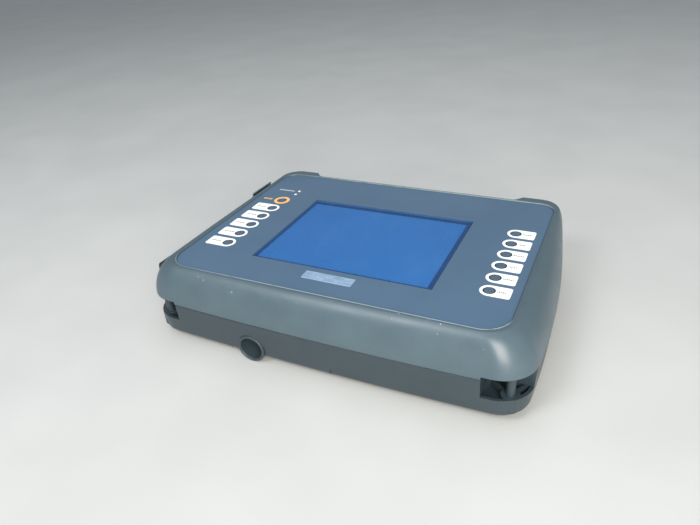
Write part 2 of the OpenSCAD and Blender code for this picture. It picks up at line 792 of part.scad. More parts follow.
front_shell();
rear_shell();
housing_gasket();
keypad_overlay();
key_surrounds();
power_key_ring();
display_window();
window_border();
lcd_bezel();
lcd_panel();
backlight_panel();
status_lamps();
name_plate();
keypad_board();
snap_domes();
main_board();
main_board_chips();
board_standoffs();
inverter_board();
coin_cell();
display_ribbon();
sounder();
input_board();
connector_panel();
data_port();
panel_screws();
coax_socket(1);  // coax_socket_1
coax_socket(2);  // coax_socket_2
coax_socket(3);  // coax_socket_3
coax_socket(4);  // coax_socket_4
key(-1, 0);  // key_left_1
key(-1, 1);  // key_left_2
key(-1, 2);  // key_left_3
key(-1, 3);  // key_left_4
key(-1, 4);  // key_left_5
key(-1, 5);  // key_left_6
key(1, 0);  // key_right_1
key(1, 1);  // key_right_2
key(1, 2);  // key_right_3
key(1, 3);  // key_right_4
key(1, 4);  // key_right_5
key(1, 5);  // key_right_6
card_socket();
card_door();
power_socket();
power_cover();
probe_tube();
battery_pack();
battery_contacts();
battery_door();
door_gasket();
door_fastener(-1);  // door_fastener_left
door_fastener(1);  // door_fastener_right
strap_posts();
housing_screws();
rubber_feet();
rating_plate();
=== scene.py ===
"""Looks of the data collector: case shells, tube, keys, legends, materials, light and camera."""

import json
import math

import bmesh
import bpy
from mathutils import Matrix, Vector


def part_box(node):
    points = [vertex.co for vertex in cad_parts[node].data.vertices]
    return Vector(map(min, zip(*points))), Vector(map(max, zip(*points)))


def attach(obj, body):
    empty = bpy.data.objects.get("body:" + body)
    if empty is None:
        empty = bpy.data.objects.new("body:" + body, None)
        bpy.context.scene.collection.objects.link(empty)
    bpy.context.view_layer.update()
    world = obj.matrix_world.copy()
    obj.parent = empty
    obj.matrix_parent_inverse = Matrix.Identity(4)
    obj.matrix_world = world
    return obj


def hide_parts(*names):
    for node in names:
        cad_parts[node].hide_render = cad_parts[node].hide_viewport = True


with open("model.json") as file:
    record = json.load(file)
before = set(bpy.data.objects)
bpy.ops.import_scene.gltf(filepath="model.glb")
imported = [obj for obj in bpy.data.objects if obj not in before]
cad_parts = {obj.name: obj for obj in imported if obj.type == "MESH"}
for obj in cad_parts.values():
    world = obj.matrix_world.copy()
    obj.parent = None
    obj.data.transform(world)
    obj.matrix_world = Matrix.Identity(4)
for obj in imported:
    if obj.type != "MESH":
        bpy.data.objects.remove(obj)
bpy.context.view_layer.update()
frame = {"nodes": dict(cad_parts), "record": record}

MM = 0.001
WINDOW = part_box("display_window")
ORIGIN = Vector(((WINDOW[0].x + WINDOW[1].x) / 2, (WINDOW[0].y + WINDOW[1].y) / 2, 0.0))


def local_box(node):
    """A node's box in millimetres from the window's centre."""
    low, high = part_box(node)
    return (low - ORIGIN) / MM, (high - ORIGIN) / MM


# ---------- sizes, in millimetres from the window's centre ----------

SHELL_LOW, SHELL_HIGH = local_box("front_shell")
OVERLAY_LOW, OVERLAY_HIGH = local_box("keypad_overlay")
PARTING_Z, RIM_Z = SHELL_LOW.z, SHELL_HIGH.z
BELLY_Z = local_box("rear_shell")[0].z
CASE_HALF, CASE_FRONT, CASE_FAR = SHELL_HIGH.x, -SHELL_LOW.y, SHELL_HIGH.y
FACE_Z, SEAT_Z = OVERLAY_HIGH.z, OVERLAY_LOW.z
WALL = 2.8
ROOF_Z = 54.0
FLOOR_Z = BELLY_Z + WALL
FRONT_CORNER_R, FAR_CORNER_R = 20.5, 17.0
OVERLAY_NEAR_R, OVERLAY_FAR_R = 17.0, 12.0
RIM_IN_X, RIM_IN_FRONT, RIM_IN_FAR = 16.5, 12.0, 3.5
SIDE_BOW, FRONT_BOW, BOW_Y = 0.055, 0.0176, -35.0
CROWN_POWER = 0.7
RECESS_HALF, RECESS_Y, RECESS_SLOPE = 86.0, 95.0, 13.0
BAY_HALF, BAY_Y, BAY_TOP, BAY_BOTTOM = 84.0, 84.0, 48.0, 12.0
FRONT_POST, FAR_POST = (125.1, -81.5), (114.0, 91.5)
POCKET_R, POCKET_IN, POCKET_TOP = 10.0, (15.6, 11.5), PARTING_Z + 2.2
POST_R, SEAT_DEPTH = 2.75, 3.0
WEB_T, SILL_Z, WELL_Z, SILL_W = 2.4, 18.0, 13.0, 2.2
SCREWS = [(118.0, -40.0), (118.0, 22.0)]
SCREW_BOSS_R, SCREW_HOLE_R, SCREW_CLEAR_R, SCREW_SEAT_R = 4.8, 1.5, 1.6, 3.3
KEY_HOLE_R = 4.7
LAMPS, LAMP_HOLE_R = [(-90.6, 54.0), (-90.6, 60.7)], 1.4
CARD_MID, CARD_TURN = (-132.5, 56.0), math.radians(-7.9)
CARD_SLOT = (40.5, 46.5)
POWER_PORT, POWER_HOLE_R, POWER_BOSS_R = (-57.0, 39.2), 5.0, 7.5
TUBE_X, TUBE_Z, TUBE_R, TUBE_BORE_R = -47.6, 10.7, 10.45, 8.25
TUBE_LOW, TUBE_HIGH = local_box("probe_tube")
DOOR_MID, DOOR_SIZE, DOOR_T = (30.0, 8.0), (120.0, 80.0), 2.2
FASTENER_X, FASTENER_HOLE_R = 53.0, 3.4
BATTERY_HALF, BATTERY_TOP, BATTERY_WALL = (46.0, 36.0), 29.4, 2.2
FEET, FOOT_HOLE_R = [(100.0, -66.0), (94.0, 68.0)], 8.1
OVERLAY_GAP = 0.15  # round the overlay and the window
FIT = 0.05  # round the tube and the posts
PARTING_GROOVE = 0.5  # depth of the groove between the shells
FAR = 200.0  # reach of a cut that goes past the case


# ---------- outlines ----------


def arc(cx, cy, r, start, count=14):
    """Points of a quarter circle, anticlockwise from start degrees."""
    angles = [math.radians(start + 90 * i / count) for i in range(count + 1)]
    return [(cx + r * math.cos(a), cy + r * math.sin(a)) for a in angles]


def between(p, q, count):
    steps = [i / count for i in range(1, count)]
    return [(p[0] + (q[0] - p[0]) * t, p[1] + (q[1] - p[1]) * t) for t in steps]


def ring(hw, yf, yr, rf, rr, count=28):
    """A rounded rectangle with points along its sides, the same number whatever its size."""
    return (
        arc(hw - rf, -yf + rf, rf, -90)
        + between((hw, -yf + rf), (hw, yr - rr), count)
        + arc(hw - rr, yr - rr, rr, 0)
        + between((hw - rr, yr), (rr - hw, yr), count)
        + arc(rr - hw, yr - rr, rr, 90)
        + between((-hw, yr - rr), (-hw, -yf + rf), count)
        + arc(rf - hw, -yf + rf, rf, 180)
        + between((rf - hw, -yf), (hw - rf, -yf), count)
    )


def bowed(points, sides, front):
    out = []
    for x, y in points:
        bow = 1 - sides * ((y - BOW_Y) / 100) ** 2
        out.append((x * bow, y * (1 - front * (x / 100) ** 2) if y < 0 else y))
    return out


def crown(z):
    """How far the front shell's outline has moved from the parting plane (0) to the rim (1)."""
    u = min(max((z - PARTING_Z) / (RIM_Z - PARTING_Z), 0.0), 1.0)
    return 1 - (1 - u * u) ** CROWN_POWER


def front_ring(z, grow=0.0):
    k = crown(z)
    points = ring(
        CASE_HALF - RIM_IN_X * k + grow,
        CASE_FRONT - RIM_IN_FRONT * k + grow,
        CASE_FAR - RIM_IN_FAR * k + grow,
        FRONT_CORNER_R - 2.5 * k + grow,
        FAR_CORNER_R - 2 * k + grow,
    )
    return bowed(points, SIDE_BOW * (1 - k), FRONT_BOW * (1 - k))


def rear_ring(inset):
    points = ring(
        CASE_HALF - inset,
        CASE_FRONT - inset,
        CASE_FAR - inset,
        FRONT_CORNER_R - inset,
        FAR_CORNER_R - inset,
    )
    return bowed(points, SIDE_BOW, FRONT_BOW)


def opening_ring(grow=0.0):
    """Outline of the recess that the keypad overlay lies in."""
    hw, yf, yr = OVERLAY_HIGH.x + grow, -OVERLAY_LOW.y + grow, OVERLAY_HIGH.y + grow
    return ring(hw, yf, yr, OVERLAY_NEAR_R + grow, OVERLAY_FAR_R + grow)


def blend_rings(a, b, t):
    return [(p[0] + (q[0] - p[0]) * t, p[1] + (q[1] - p[1]) * t) for p, q in zip(a, b)]


def smooth_inset(z):
    """Inset of the rear shell at height z: a soft edge at the belly and a slight draft above it."""
    levels = [(0.0, 4.6), (0.15, 4.0), (0.4, 3.5), (0.75, 3.05), (1.2, 2.7), (1.9, 2.38)]
    levels += [(3.0, 2.1), (6.0, 1.83), (13.0, 1.2), (20.0, 0.85), (27.0, 0.5)]
    h = z - BELLY_Z
    for (z0, i0), (z1, i1) in zip(levels, levels[1:]):
        if h <= z1:
            return i0 + (i1 - i0) * (h - z0) / (z1 - z0)
    return levels[-1][1]


# ---------- mesh making ----------


def mesh_object(name, verts, faces):
    """A new object from points in millimetres. It is put in the row frame by place()."""
    mesh = bpy.data.meshes.new(name)
    mesh.from_pydata([tuple(v) for v in verts], [], faces)
    mesh.validate()
    obj = bpy.data.objects.new(name, mesh)
    bpy.context.scene.collection.objects.link(obj)
    return obj


def tidy_normals(obj):
    bm = bmesh.new()
    bm.from_mesh(obj.data)
    bmesh.ops.recalc_face_normals(bm, faces=bm.faces)
    bm.to_mesh(obj.data)
    bm.free()
    return obj


def loft(name, levels):
    """A closed solid over a list of (outline, height) pairs."""
    verts, faces = [], []
    n = len(levels[0][0])
    for points, z in levels:
        verts += [(x, y, z) for x, y in points]
    for k in range(len(levels) - 1):
        a, b = k * n, (k + 1) * n
        faces += [(a + i, a + (i + 1) % n, b + (i + 1) % n, b + i) for i in range(n)]
    faces.append(tuple(reversed(range(n))))
    faces.append(tuple(range((len(levels) - 1) * n, len(levels) * n)))
    return tidy_normals(mesh_object(name, verts, faces))


def prism(points, low, high, name="prism"):
    return loft(name, [(points, low), (points, high)])


def block(low, high, name="block"):
    corners = [(low[0], low[1]), (high[0], low[1]), (high[0], high[1]), (low[0], high[1])]
    return prism(corners, low[2], high[2], name)


def disc(cx, cy, r, count=48):
    turn = [2 * math.pi * i / count for i in range(count)]
    return [(cx + r * math.cos(a), cy + r * math.sin(a)) for a in turn]


def rounded(cx, cy, w, h, r, count=8):
    x, y = w / 2 - r, h / 2 - r
    return (
        arc(cx + x, cy - y, r, -90, count)
        + arc(cx + x, cy + y, r, 0, count)
        + arc(cx - x, cy + y, r, 90, count)
        + arc(cx - x, cy - y, r, 180, count)
    )


def lathe(name, profile, count=72, axis=None, at=(0, 0, 0)):
    """A solid of revolution. profile is (radius, height) points, from the axis back to the axis."""
    verts, faces, rows = [], [], []
    for r, h in profile:
        if r < 1e-6:
            rows.append([len(verts)])
            verts.append((0, 0, h))
        else:
            rows.append(list(range(len(verts), len(verts) + count)))
            verts += [(x, y, h) for x, y in disc(0, 0, r, count)]
    for a, b in zip(rows, rows[1:]):
        for i in range(count):
            j = (i + 1) % count
            face = [a[i % len(a)], a[j % len(a)], b[j % len(b)], b[i % len(b)]]
            face = [v for k, v in enumerate(face) if v not in face[:k]]
            if len(face) > 2:
                faces.append(tuple(face))
    obj = mesh_object(name, verts, faces)
    matrix = Matrix.Translation(Vector(at))
    if axis is not None:
        matrix = matrix @ Vector((0, 0, 1)).rotation_difference(Vector(axis)).to_matrix().to_4x4()
    obj.data.transform(matrix)
    return tidy_normals(obj)


def moved(obj, matrix):
    obj.data.transform(matrix)
    return obj


def mirrored(obj, axis):
    """A mirrored copy of obj."""
    copy = bpy.data.objects.new(obj.name + "_copy", obj.data.copy())
    bpy.context.scene.collection.objects.link(copy)
    scale = Vector((-1, 1, 1)) if axis == "X" else Vector((1, -1, 1))
    copy.data.transform(Matrix.Diagonal((*scale, 1)))
    copy.data.flip_normals()
    return copy


def remove(obj):
    mesh = obj.data
    bpy.data.objects.remove(obj)
    bpy.data.meshes.remove(mesh)


def combine(target, others, operation):
    """Applies one boolean of each other solid to the target, and removes them."""
    for other in others:
        mod = target.modifiers.new("combine", "BOOLEAN")
        mod.object = other
        mod.operation = operation
        mod.solver = "MANIFOLD"
        graph = bpy.context.evaluated_depsgraph_get()
        made = bpy.data.meshes.new_from_object(target.evaluated_get(graph))
        old = target.data
        target.modifiers.clear()
        target.data = made
        made.name = old.name
        bpy.data.meshes.remove(old)
        remove(other)
    return target


def cut(target, *others):
    return combine(target, others, "DIFFERENCE")


def join(target, *others):
    return combine(target, others, "UNION")


def place(obj, material, body="housing", replaces=(), angle=35):
    """Puts a finished piece in the row frame, smooths it and makes it ride on its body."""
    obj.data.transform(Matrix.Translation(ORIGIN) @ Matrix.Diagonal((MM, MM, MM, 1)))
    materials = material if isinstance(material, list) else [material]
    if len(materials) == 1:
        obj.data.materials.clear()
    if not obj.data.materials:
        for m in materials:
            obj.data.materials.append(m)
    obj.data.shade_smooth()
    obj.data.set_sharp_from_angle(angle=math.radians(angle))
    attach(obj, body)
    if replaces:
        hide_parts(*replaces)
    return obj


# ---------- case shells ----------


def corner_post(point, far, make):
    """make() builds a solid about a post's axis. Returns it at one post and at its mirror twin."""
    solid = make()
    if far:
        solid.data.transform(Matrix.Diagonal((1, -1, 1, 1)))
        solid.data.flip_normals()
    moved(solid, Matrix.Translation((point[0], point[1], 0)))
    return [solid, mirrored(solid, "X")]


def at_posts(make):
    return corner_post(FRONT_POST, False, make) + corner_post(FAR_POST, True, make)


def at_screws(r, low, high):
    return [prism(disc(side * x, y, r), low, high) for x, y in SCREWS for side in (-1, 1)]


def pocket(low, high, grow=0.0):
    """Space round a strap post, open to the front and to the side."""
    west, north = POCKET_IN[0] + grow, POCKET_IN[1] + grow
    corner = arc(POCKET_R - POCKET_IN[0], POCKET_IN[1] - POCKET_R, POCKET_R + grow, 90, 24)
    return prism([(-west, -60), (60, -60), (60, north)] + corner, low, high, "pocket")


def recess(grow=0.0):
    """Space between the ears. Each end follows an S-shaped curve out to the ear's tip."""
    steps = [i / 24 for i in range(25)]
    depth = CASE_FAR + 1 + grow - RECESS_Y
    end = [
        (RECESS_HALF + grow + RECESS_SLOPE * u, RECESS_Y - grow + depth * u * u * (3 - 2 * u))
        for u in steps
    ]
    wide = RECESS_HALF + RECESS_SLOPE + grow
    far_side = [(wide, FAR), (-wide, FAR)]
    return prism(end + far_side + [(-x, y) for x, y in reversed(end)], -1, FAR, "recess")


def socket_bay(grow=0.0):
    low = (-BAY_HALF - grow, BAY_Y - grow, BAY_BOTTOM - grow)
    return block(low, (BAY_HALF + grow, FAR, BAY_TOP + grow), "bay")


def bay_hatch():
    low = (-BAY_HALF + 4, BAY_Y - 6, BAY_BOTTOM + 4)
    return block(low, (BAY_HALF - 4, FAR, BAY_TOP - 4), "bay_hatch")


def at_card_door(obj):
    turn = Matrix.Rotation(CARD_TURN, 4, "Z")
    return moved(obj, Matrix.Translation((CARD_MID[0], CARD_MID[1], 0)) @ turn)


def x_rod(r, x0, x1, y, z):
    profile = [(0, 0), (r, 0), (r, x1 - x0), (0, x1 - x0)]
    return lathe("rod", profile, 48, axis=(1, 0, 0), at=(x0, y, z))


def y_rod(r, y0, y1, x, z):
    profile = [(0, 0), (r, 0), (r, y1 - y0), (0, y1 - y0)]
    return lathe("rod", profile, 64, axis=(0, 1, 0), at=(x, y0, z))


def front_body():
    """Outer form of the front shell, from the parting line over the crown down to the overlay."""
    levels = [
        (front_ring(PARTING_Z, -inset), PARTING_Z + h)
        for inset, h in ((0.75, 0), (0.42, 0.03), (0.16, 0.16), (0.03, 0.38))
    ]
    for i in range(1, 31):
        z = PARTING_Z + (RIM_Z - PARTING_Z) * math.sin(math.radians(90 * i / 30))
        if z > PARTING_Z + 0.6:
            levels.append((front_ring(z), z))
    crest = front_ring(RIM_Z)
    lip = 0.55
    edge = opening_ring(OVERLAY_GAP + lip)
    levels += [(blend_rings(crest, edge, t), RIM_Z) for t in (0.35, 0.7, 1.0)]
    for a in (22.5, 45, 67.5, 90):
        s, c = math.sin(math.radians(a)), math.cos(math.radians(a))
        levels.append((opening_ring(OVERLAY_GAP + lip * (1 - s)), RIM_Z - lip * (1 - c)))
    levels.append((opening_ring(OVERLAY_GAP), SEAT_Z))
    return loft("case_front", levels)


def front_cavity():
    levels = []
    for z in [PARTING_Z - 1, PARTING_Z + 6, PARTING_Z + 11, 46.5, 49, 51, 52.5, 53.4, ROOF_Z]:
        levels.append((front_ring(max(z, PARTING_Z), -WALL), z))
    ports = [x_rod(POWER_BOSS_R, -138, -124, *POWER_PORT)]
    ports.append(at_card_door(block((-4, -15, CARD_SLOT[0] - 2.5), (19, 15, CARD_SLOT[1] + 2.5))))
    walls = [recess(WALL), socket_bay(WEB_T)]
    walls += at_posts(lambda: pocket(-1, POCKET_TOP + WEB_T, WEB_T))
    return cut(loft("front_cavity", levels), *walls, *ports)


def key_centres():
    names = [n for n in frame["nodes"] if n.startswith("key_left_") or n.startswith("key_right_")]
    out = {}
    for name in sorted(names):
        low, high = local_box(name)
        out[name] = (low + high) / 2
    return out


def post_holes(low, high):
    return at_posts(lambda: prism(disc(0, 0, POST_R + FIT), low, high))


def make_front_shell(material):
    shell = cut(front_body(), front_cavity())
    join(shell, *at_posts(lambda: prism(disc(0, 0, 4.6), POCKET_TOP, POCKET_TOP + 5)))
    join(shell, *at_screws(SCREW_BOSS_R, PARTING_Z, ROOF_Z + 0.5))
    cut(shell, recess(), socket_bay(), bay_hatch())
    cut(shell, *at_posts(lambda: pocket(PARTING_Z - 1, POCKET_TOP)))
    low, high = local_box("display_window")
    half = (high - low) / 2 + Vector((OVERLAY_GAP, OVERLAY_GAP, 0))
    cut(shell, block((-half.x, -half.y, low.z - OVERLAY_GAP), (half.x, half.y, FAR)))
    low, high = local_box("window_border")
    cut(shell, block((low.x + 1.5, low.y + 2.0, 40), (high.x - 1.5, high.y - 2.0, FAR)))
    for centre in key_centres().values():
        cut(shell, prism(disc(centre.x, centre.y, KEY_HOLE_R), 40, FAR))
    for x, y in LAMPS:
        cut(shell, prism(disc(x, y, LAMP_HOLE_R, 32), 40, FAR))
    cut(shell, *post_holes(0, POCKET_TOP + SEAT_DEPTH))
    cut(shell, *at_screws(SCREW_HOLE_R, 0, PARTING_Z + 11))
    cut(shell, x_rod(POWER_HOLE_R, -FAR, -120, *POWER_PORT))
    cut(shell, at_card_door(block((-10, -13, CARD_SLOT[0]), (22, 13, CARD_SLOT[1]))))
    return place(shell, material, replaces=["front_shell"])


def rear_body():
    """Outer form of the rear shell, from the belly up to the groove below the front shell."""
    steps = [0, 0.1, 0.25, 0.45, 0.7, 1, 1.3, 1.7, 2.2, 2.8, 3.4, 4.2, 5]
    steps += [6.5, 8, 10.5, 13, 16, 20, 24]
    levels = [(rear_ring(smooth_inset(BELLY_Z + h)), BELLY_Z + h) for h in steps]
    top = PARTING_Z - PARTING_GROOVE
    for inset, below in ((0.54, 0.5), (0.6, 0.22), (0.74, 0.07), (1.0, 0.0)):
        levels.append((rear_ring(inset), top - below))
    return loft("case_rear", levels)


def battery_bay(grow=0.0):
    """Space for the battery pack, open at the belly."""
    x, y = BATTERY_HALF[0] + grow, BATTERY_HALF[1] + grow
    high = (DOOR_MID[0] + x, DOOR_MID[1] + y, BATTERY_TOP)
    return block((DOOR_MID[0] - x, DOOR_MID[1] - y, 0), high, "battery_bay")


def rear_cavity():
    levels = [(rear_ring(smooth_inset(BELLY_Z + h) + WALL), FLOOR_Z + h) for h in (0, 1, 3, 8, 16)]
    levels.append((rear_ring(0.5 + WALL), PARTING_Z + 1))
    walls = [recess(WALL), socket_bay(WEB_T)]
    walls += at_posts(lambda: pocket(-1, FAR, WEB_T))
    walls.append(y_rod(TUBE_R + 2, -FAR, TUBE_HIGH.y + 2.6, TUBE_X, TUBE_Z))
    walls.append(prism(rounded(*DOOR_MID, DOOR_SIZE[0] + 6, DOOR_SIZE[1] + 6, 6), 0, 14))
    walls.append(battery_bay(BATTERY_WALL))
    return cut(loft("rear_cavity", levels), *walls)


def strap_foot():
    """Round foot and two ribs that carry a strap post."""
    foot = prism(disc(0, 0, 5.6), FLOOR_Z, SILL_Z, "foot")
    for angle in (58, 145):
        rib = block((0, -1.1, FLOOR_Z + 0.01), (15.2, 1.1, SILL_Z - 0.01))
        join(foot, moved(rib, Matrix.Rotation(math.radians(angle), 4, "Z")))
    return foot


def make_rear_shell(material):
    shell = cut(rear_body(), rear_cavity())
    cut(shell, *at_posts(lambda: pocket(SILL_Z, FAR)))
    wells = at_posts(lambda: pocket(WELL_Z, SILL_Z + 1))
    inner = [prism(rear_ring(1.4 + SILL_W), WELL_Z - 1, SILL_Z + 2) for _ in wells]
    cut(shell, *[combine(w, [i], "INTERSECT") for w, i in zip(wells, inner)])
    join(shell, *at_posts(strap_foot))
    join(shell, *at_screws(SCREW_BOSS_R, FLOOR_Z - 1, PARTING_Z - PARTING_GROOVE - 0.01))
    cut(shell, recess(), socket_bay(), bay_hatch())
    cut(shell, battery_bay())
    door = rounded(*DOOR_MID, DOOR_SIZE[0] + 0.6, DOOR_SIZE[1] + 0.6, 5)
    cut(shell, prism(door, BELLY_Z - 1, BELLY_Z + DOOR_T + 0.4))
    cut(shell, y_rod(TUBE_R + FIT, -FAR, TUBE_HIGH.y + 0.1, TUBE_X, TUBE_Z))
    cut(shell, *post_holes(SILL_Z - SEAT_DEPTH, FAR))
    cut(shell, *at_screws(SCREW_CLEAR_R, 0, FAR))
    cut(shell, *at_screws(SCREW_SEAT_R, 0, BELLY_Z + 4))
    for x, y in FEET:
        for side in (-1, 1):
            cut(shell, prism(disc(side * x, y, FOOT_HOLE_R, 64), 0, BELLY_Z + 1))
    for side in (-1, 1):
        hole = disc(DOOR_MID[0] + side * FASTENER_X, DOOR_MID[1], FASTENER_HOLE_R)
        cut(shell, prism(hole, 0, 12))
    # two small chips in the lower edge of the front wall
    nick = block((12.4, -FAR, BELLY_Z - 1), (13.0, -CASE_FRONT + 3.6, BELLY_Z + 5.2))
    small = block((-66.3, -FAR, BELLY_Z - 1), (-65.8, -CASE_FRONT + 4.2, BELLY_Z + 2.6))
    cut(shell, moved(nick, Matrix.Shear("XY", 4, (0.05, 0.0))), small)
    return place(shell, material, replaces=["rear_shell"])


# ---------- smaller pieces ----------


def make_probe_tube(material):
    """Tube with a rounded mouth and a blind bore."""
    length = TUBE_HIGH.y - TUBE_LOW.y
    mouth = [(TUBE_BORE_R, 1.0), (TUBE_BORE_R + 0.12, 0.4), (TUBE_BORE_R + 0.45, 0.1)]
    mouth += [(TUBE_BORE_R + 0.9, 0.0), (TUBE_R - 0.8, 0.0), (TUBE_R - 0.35, 0.12)]
    mouth += [(TUBE_R - 0.1, 0.4), (TUBE_R, 0.9)]
    end = [(TUBE_R, length - 1.2), (TUBE_R - 0.4, length - 0.3)]
    end += [(TUBE_R - 1.2, length), (0, length)]
    bore = [(0, length - 2.6), (TUBE_BORE_R - 0.6, length - 2.6), (TUBE_BORE_R, length - 3.2)]
    profile = bore + mouth + end
    tube = lathe("probe_tube_body", profile, 96, axis=(0, 1, 0), at=(TUBE_X, TUBE_LOW.y, TUBE_Z))
    return place(tube, material, replaces=["probe_tube"], angle=50)


def make_key(node, centre, materials):
    """Key cap with a slightly crowned face, a dark edge painted as the shade of the gap round it,
    and a flange below the face.
    """
    low, high = local_box(node)
    top, flange = high.z, low.z + 1.2
    profile = [(0, top), (1.4, top - 0.01), (2.4, top - 0.04), (3.15, top - 0.09)]
    profile += [(3.5, top - 0.15), (3.75, top - 0.26), (3.87, top - 0.42)]
    profile += [(3.9, top - 0.6), (3.9, flange)]
    profile += [(5.5, flange), (5.6, flange - 0.1), (5.6, low.z), (0, low.z)]
    key = lathe(node + "_cap", profile, 64, at=(centre.x, centre.y, 0))
    for m in materials:
        key.data.materials.append(m)
    # Faces beyond 3.15 mm from the centre take the dark edge material: painted shade of the gap
    # round the key.
    for face in key.data.polygons:
        away = (face.center - Vector((centre.x, centre.y, face.center.z))).length
        if away > 3.15:
            face.material_index = 1
    return place(key, materials, node + "_body", [node], angle=40)


def bar(x, y, w, h, z, t=0.04):
    return prism(rounded(x, y, w, h, min(w, h) * 0.3, 4), z, z + t, "bar")


def strokes(x, y, widths, step, height, z, t=0.04):
    """A row of short upright bars that starts at x."""
    bars = []
    for width in widths:
        bars.append(bar(x + width / 2, y, width, height, z, t))
        x += width + step
    return bars


def make_legends(centres, grey, orange, white):
    """Small generic marks in place of lettering: strokes on the fields, a ring and bars, dashes."""
    z = FACE_Z + 0.15
    marks = []
    for name, c in centres.items():
        if name == "key_left_1":
            continue
        row = int(name[-1])
        start, count = (5.0, 5) if "right" in name else (-14.0, 7)
        widths = [(0.7, 1.1, 0.5, 0.9)[(row + i) % 4] for i in range(count + row % 2)]
        marks += strokes(c.x + start, c.y, widths, 0.38, 1.35, z)
    pills = join(marks[0], *marks[1:])
    pills.name = "field_marks"
    place(pills, grey)
    power = centres["key_left_1"]
    ring_x = power.x - 16.5
    ring_mark = cut(prism(disc(ring_x, power.y, 1.3, 40), FACE_Z, FACE_Z + 0.06),
                    prism(disc(ring_x, power.y, 0.6, 40), FACE_Z - 1, FACE_Z + 1))
    widths = (0.8, 0.8, 1.1, 0.7)
    mark = join(ring_mark, *strokes(ring_x + 1.8, power.y, widths, 0.5, 2.5, FACE_Z, 0.06))
    mark.name = "power_mark"
    place(mark, orange)
    widths = (1.0, 0.7, 1.1, 0.8, 1.0, 1.1, 0.7, 0.9, 1.1, 0.8)
    lamps = strokes(-109.5, 59.6, widths, 0.6, 1.2, FACE_Z, 0.06)
    dashes = join(lamps[0], *lamps[1:])
    dashes.name = "lamp_mark"
    place(dashes, white)


def soften(node, width, segments=2, angle=35):
    """Rounds the edges of a carried-over CAD node with modifiers only."""
    obj = frame["nodes"][node]
    weld = obj.modifiers.new("weld", "WELD")
    weld.merge_threshold = 0.000002
    flat = obj.modifiers.new("planar", "DECIMATE")
    flat.decimate_type = "DISSOLVE"
    flat.angle_limit = math.radians(1.0)
    bevel = obj.modifiers.new("bevel", "BEVEL")
    bevel.width = width * MM
    bevel.segments = segments
    bevel.limit_method = "ANGLE"
    bevel.angle_limit = math.radians(angle)
    bevel.harden_normals = False
    smooth = obj.modifiers.new("smooth", "WEIGHTED_NORMAL")
    smooth.keep_sharp = True


# ---------- materials ----------


class Surface:
    """A Principled material with short helpers for its node tree."""

    def __init__(self, name, **values):
        self.material = bpy.data.materials.new(name)
        self.material.use_nodes = True
        self.tree = self.material.node_tree
        self.bsdf = self.tree.nodes["Principled BSDF"]
        for key, value in values.items():
            self.bsdf.inputs[key.replace("_", " ")].default_value = value
        self.point = self.add("ShaderNodeTexCoord").outputs["Object"]

    def add(self, kind, **inputs):
        node = self.tree.nodes.new(kind)
        for key, value in inputs.items():
            self.put(node.inputs[key.replace("_", " ")], value)
        return node

    def put(self, socket, value):
        if isinstance(value, bpy.types.NodeSocket):
            self.tree.links.new(value, socket)
        else:
            socket.default_value = value

    def noise(self, size_mm, detail=3.0, rough=0.5, stretch=None):
        point = self.point
        if stretch is not None:
            mapping = self.add("ShaderNodeMapping", Vector=point, Scale=stretch)
            point = mapping.outputs["Vector"]
        node = self.add("ShaderNodeTexNoise", Vector=point, Scale=1000.0 / size_mm)
        node.inputs["Detail"].default_value = detail
        node.inputs["Roughness"].default_value = rough
        return node.outputs["Fac"]

    def ramp(self, value, low, high, out_low=0.0, out_high=1.0):
        node = self.add("ShaderNodeMapRange", Value=value)
        node.interpolation_type = "SMOOTHSTEP"
        limits = {"From Min": low, "From Max": high, "To Min": out_low, "To Max": out_high}
        for key, number in limits.items():
            node.inputs[key].default_value = number
        return node.outputs["Result"]

    def calc(self, operation, a, b=0.0):
        node = self.tree.nodes.new("ShaderNodeMath")
        node.operation = operation
        self.put(node.inputs[0], a)
        self.put(node.inputs[1], b)
        return node.outputs[0]

    def blend(self, amount, a, b):
        node = self.tree.nodes.new("ShaderNodeMix")
        node.data_type = "RGBA"
        self.put(node.inputs["Factor"], amount)
        self.put(node.inputs["A"], a if isinstance(a, bpy.types.NodeSocket) else (*a, 1.0))
        self.put(node.inputs["B"], b if isinstance(b, bpy.types.NodeSocket) else (*b, 1.0))
        return node.outputs["Result"]

    def mixed(self, amount, a, b):
        """A number that goes from a to b."""
        node = self.tree.nodes.new("ShaderNodeMix")
        node.data_type = "FLOAT"
        self.put(node.inputs["Factor"], amount)
        self.put(node.inputs["A"], a)
        self.put(node.inputs["B"], b)
        return node.outputs["Result"]

    def bump(self, height, strength, depth_mm, normal=None):
        node = self.add("ShaderNodeBump", Height=height)
        node.inputs["Strength"].default_value = strength
        node.inputs["Distance"].default_value = depth_mm * MM
        if normal is not None:
            self.put(node.inputs["Normal"], normal)
        return node.outputs["Normal"]

    def axis(self, name):
        if not hasattr(self, "split"):
            self.split = self.add("ShaderNodeSeparateXYZ", Vector=self.point)
        return self.split.outputs[name]

    def colour(self, socket):
        self.put(self.bsdf.inputs["Base Color"], socket)

    def roughness(self, socket):
        self.put(self.bsdf.inputs["Roughness"], socket)

    def normal(self, socket):
        self.put(self.bsdf.inputs["Normal"], socket)


def moulded(name, base, pale, rough, grain=0.45, depth=0.03, **values):
    """Moulded plastic or rubber: uneven tone, uneven gloss and a fine moulding grain."""
    s = Surface(name, **values)
    tone = s.ramp(s.noise(38, 4), 0.3, 0.7)
    speck = s.ramp(s.noise(2.2, 4, 0.6), 0.35, 0.75)
    colour = s.blend(s.calc("MULTIPLY", tone, 0.5), base, pale)
    s.colour(s.blend(s.calc("MULTIPLY", speck, 0.25), colour, pale))
    s.roughness(s.ramp(s.noise(14, 5, 0.6), 0.25, 0.75, rough - 0.06, rough + 0.07))
    s.normal(s.bump(s.noise(grain, 2, 0.5), 0.35, depth))
    return s


